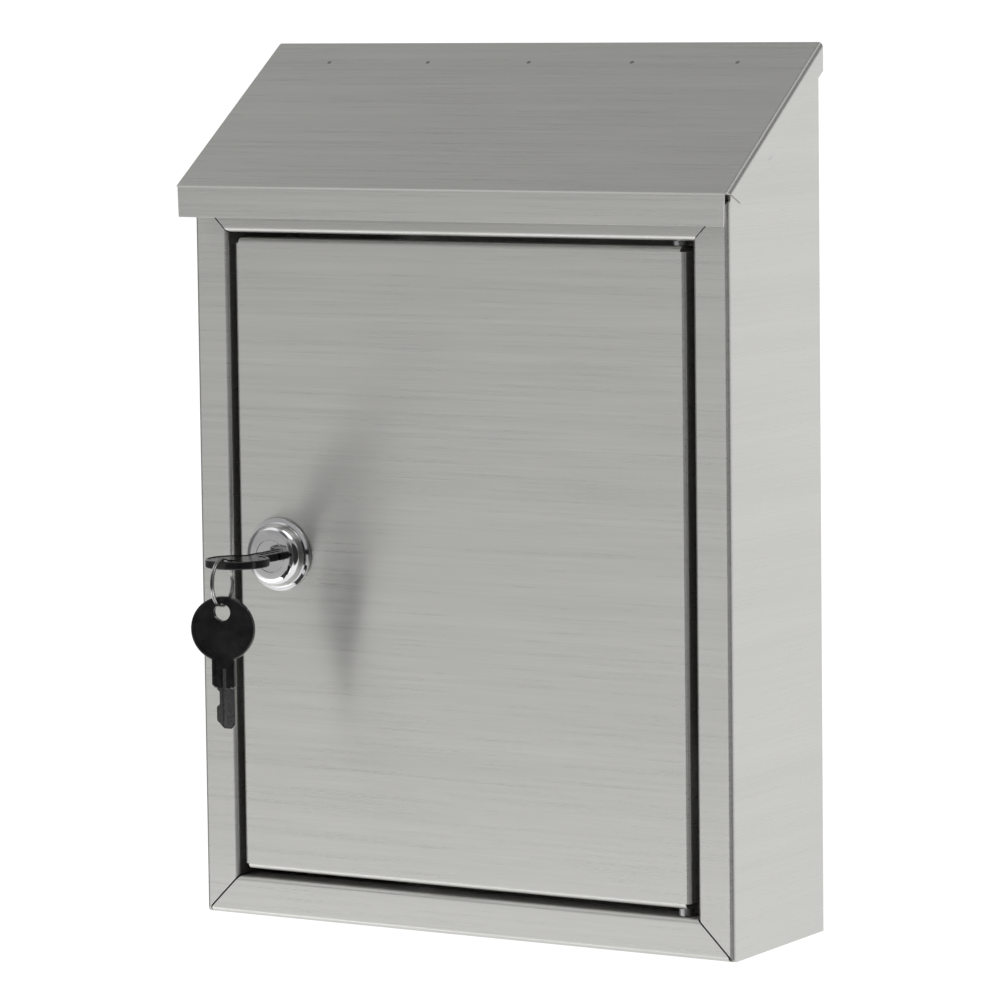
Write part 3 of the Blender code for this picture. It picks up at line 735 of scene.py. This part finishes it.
WIRE_RADIUS = 0.65 * MM          # of the CAD ring
RING_TURN = math.radians(8)
COIL_OFFSET = 0.42 * MM          # of each coil from the ring's middle plane
COIL_HALF_HEIGHT = 0.55 * MM
COIL_HALF_WIDTH = 0.40 * MM


def add_ring():
    """A split ring: two close coils of flattened wire."""
    low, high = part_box("key_ring")
    centre = (low + high) / 2
    radius = (high.z - low.z) / 2 - WIRE_RADIUS
    across = Vector((-math.sin(RING_TURN), math.cos(RING_TURN), 0))
    normal = across.cross(UP)
    bm = bmesh.new()
    turns, steps, sides = 2, 260, 12
    rings = []
    for k in range(steps + 1):
        share = k / steps
        a = turns * 2 * math.pi * share
        out = across * math.cos(a) + UP * math.sin(a)
        offset = normal * (COIL_OFFSET * math.tanh(14 * (share - 0.5)))
        middle = centre + out * radius + offset
        ring = []
        for j in range(sides):
            b = 2 * math.pi * j / sides
            around = out * (COIL_HALF_HEIGHT * math.cos(b)) + normal * (COIL_HALF_WIDTH * math.sin(b))
            ring.append(bm.verts.new(middle + around))
        rings.append(ring)
    for one, two in zip(rings, rings[1:]):
        for j in range(sides):
            bm.faces.new((one[j], one[(j + 1) % sides], two[(j + 1) % sides], two[j]))
    bm.faces.new(rings[0])
    bm.faces.new(rings[-1])
    bmesh.ops.recalc_face_normals(bm, faces=bm.faces)
    add_piece("split_ring", to_mesh("ring", bm), NICKEL, "key_ring", ["key_ring"], 60)


add_side(-1, "shell_side_left", "left_side_panel")
add_side(1, "shell_side_right", "right_side_panel")
add_back()
add_bottom()
add_header()
add_lid()
add_door()
add_housing()
add_plug()

key_low, key_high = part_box("key_head")
key_matrix = Matrix.Translation(((key_low.x + key_high.x) / 2, key_high.y, (key_low.z + key_high.z) / 2))
add_key("key", "key", ("key_blade", "key_head"), key_matrix)
spare_low, spare_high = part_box("spare_key_head")
spare_middle = (spare_low + spare_high) / 2
spare_matrix = (
    Matrix.Translation((spare_middle.x, spare_middle.y, spare_low.z))
    @ Matrix.Rotation(SPARE_TURN, 4, "Z")
    @ Matrix.Rotation(-QUARTER, 4, "X")
)
add_key("spare", "spare_key", ("spare_key_blade", "spare_key_head"), spare_matrix)
add_ring()

# The CAD nodes that stay

KEPT = (
    "hinge_body_leaf",
    "hinge_lid_leaf",
    "hinge_pin",
    "door_pivot_upper",
    "door_pivot_lower",
    "side_rivet_left",
    "side_rivet_right",
    "lock_nut",
    "lock_cam",
    "cam_nut",
)
for name in KEPT:
    node = frame["nodes"][name]
    for slot in node.material_slots:
        slot.material = HARDWARE
    if name in ("lock_nut", "lock_cam", "cam_nut"):
        bevel = node.modifiers.new("Edges", "BEVEL")
        bevel.width = 0.25 * MM
        bevel.segments = 3
        bevel.limit_method = "ANGLE"
        bevel.angle_limit = math.radians(40)

# World and lights

world = bpy.data.worlds.new("studio")
scene.world = world
world.use_nodes = True
tree = world.node_tree
background = tree.nodes["Background"]
direction = tree.nodes.new("ShaderNodeTexCoord").outputs["Generated"]
split = tree.nodes.new("ShaderNodeSeparateXYZ")
tree.links.new(direction, split.inputs["Vector"])
x, y, z = split.outputs


def towards(axis, inner, outer):
    """1 within inner degrees of a direction, falling to 0 at outer degrees."""
    way = Vector(axis).normalized()
    parts = [maths(tree, "MULTIPLY", part, w) for part, w in zip((x, y, z), way)]
    dot = maths(tree, "ADD", maths(tree, "ADD", parts[0], parts[1]), parts[2])
    node = tree.nodes.new("ShaderNodeMapRange")
    node.interpolation_type = "SMOOTHSTEP"
    node.inputs["From Min"].default_value = math.cos(math.radians(outer))
    node.inputs["From Max"].default_value = math.cos(math.radians(inner))
    tree.links.new(dot, node.inputs["Value"])
    return node.outputs["Result"]


def moved_to(value, target, share):
    """The value, moved towards the target by the share."""
    return maths(tree, "ADD", value, maths(tree, "MULTIPLY", share, maths(tree, "SUBTRACT", target, value)))


# Brighter and darker parts of the world, as (strength, direction, inner, outer), for towards(). Seen from the
# camera, the lid's front bend mirrors the second, the front right corner's bend the third and fourth, the front
# left corner's bend the sixth and the lid's right bend the last; the others fall mostly on the lock's dome.

PATCHES = (
    (1.5, (0.34, -0.16, 0.92), 13, 24),
    (1.0, (-0.50, -0.42, 0.75), 10, 24),
    (0.03, (0.86, -0.50, 0.05), 27, 37),
    (0.06, (0.25, -0.96, -0.05), 17, 28),
    (0.05, (0.10, -0.62, 0.78), 9, 20),
    (0.15, (-1.00, -0.05, 0.00), 18, 34),
    (0.10, (0.75, 0.43, 0.49), 8, 20),
)

# Dimmer towards the front than behind, dimmer still overhead, and bright underneath; plain white to the camera

level = spread(tree, y, 0.42, 1.07, -0.75, 0.75)
level = moved_to(level, 0.33, spread(tree, z, 0.0, 1.0, 0.05, 0.75))
level = moved_to(level, 1.0, spread(tree, z, 1.0, 0.0, -0.50, -0.10))
for strength, axis, inner, outer in PATCHES:
    level = moved_to(level, strength, towards(axis, inner, outer))
seen = tree.nodes.new("ShaderNodeLightPath").outputs["Is Camera Ray"]
tree.links.new(maths(tree, "MAXIMUM", level, seen), background.inputs["Strength"])
background.inputs["Color"].default_value = (1, 1, 1, 1)


def add_area(name, location, target, size, power):
    data = bpy.data.lights.new(name, "AREA")
    data.shape = "RECTANGLE"
    data.size, data.size_y = size
    data.energy = power
    light = bpy.data.objects.new(name, data)
    light.location = location
    light.rotation_euler = (Vector(target) - Vector(location)).to_track_quat("-Z", "Y").to_euler()
    light.visible_camera = False
    scene.collection.objects.link(light)


add_area("low_left", (-0.30, -0.50, -0.44), (0, -0.07, -0.17), (0.9, 0.15), 0.80)
add_area("over_lid", (-0.12, -0.24, 0.36), (-0.02, -0.08, 0.12), (0.8, 0.16), 0.05)
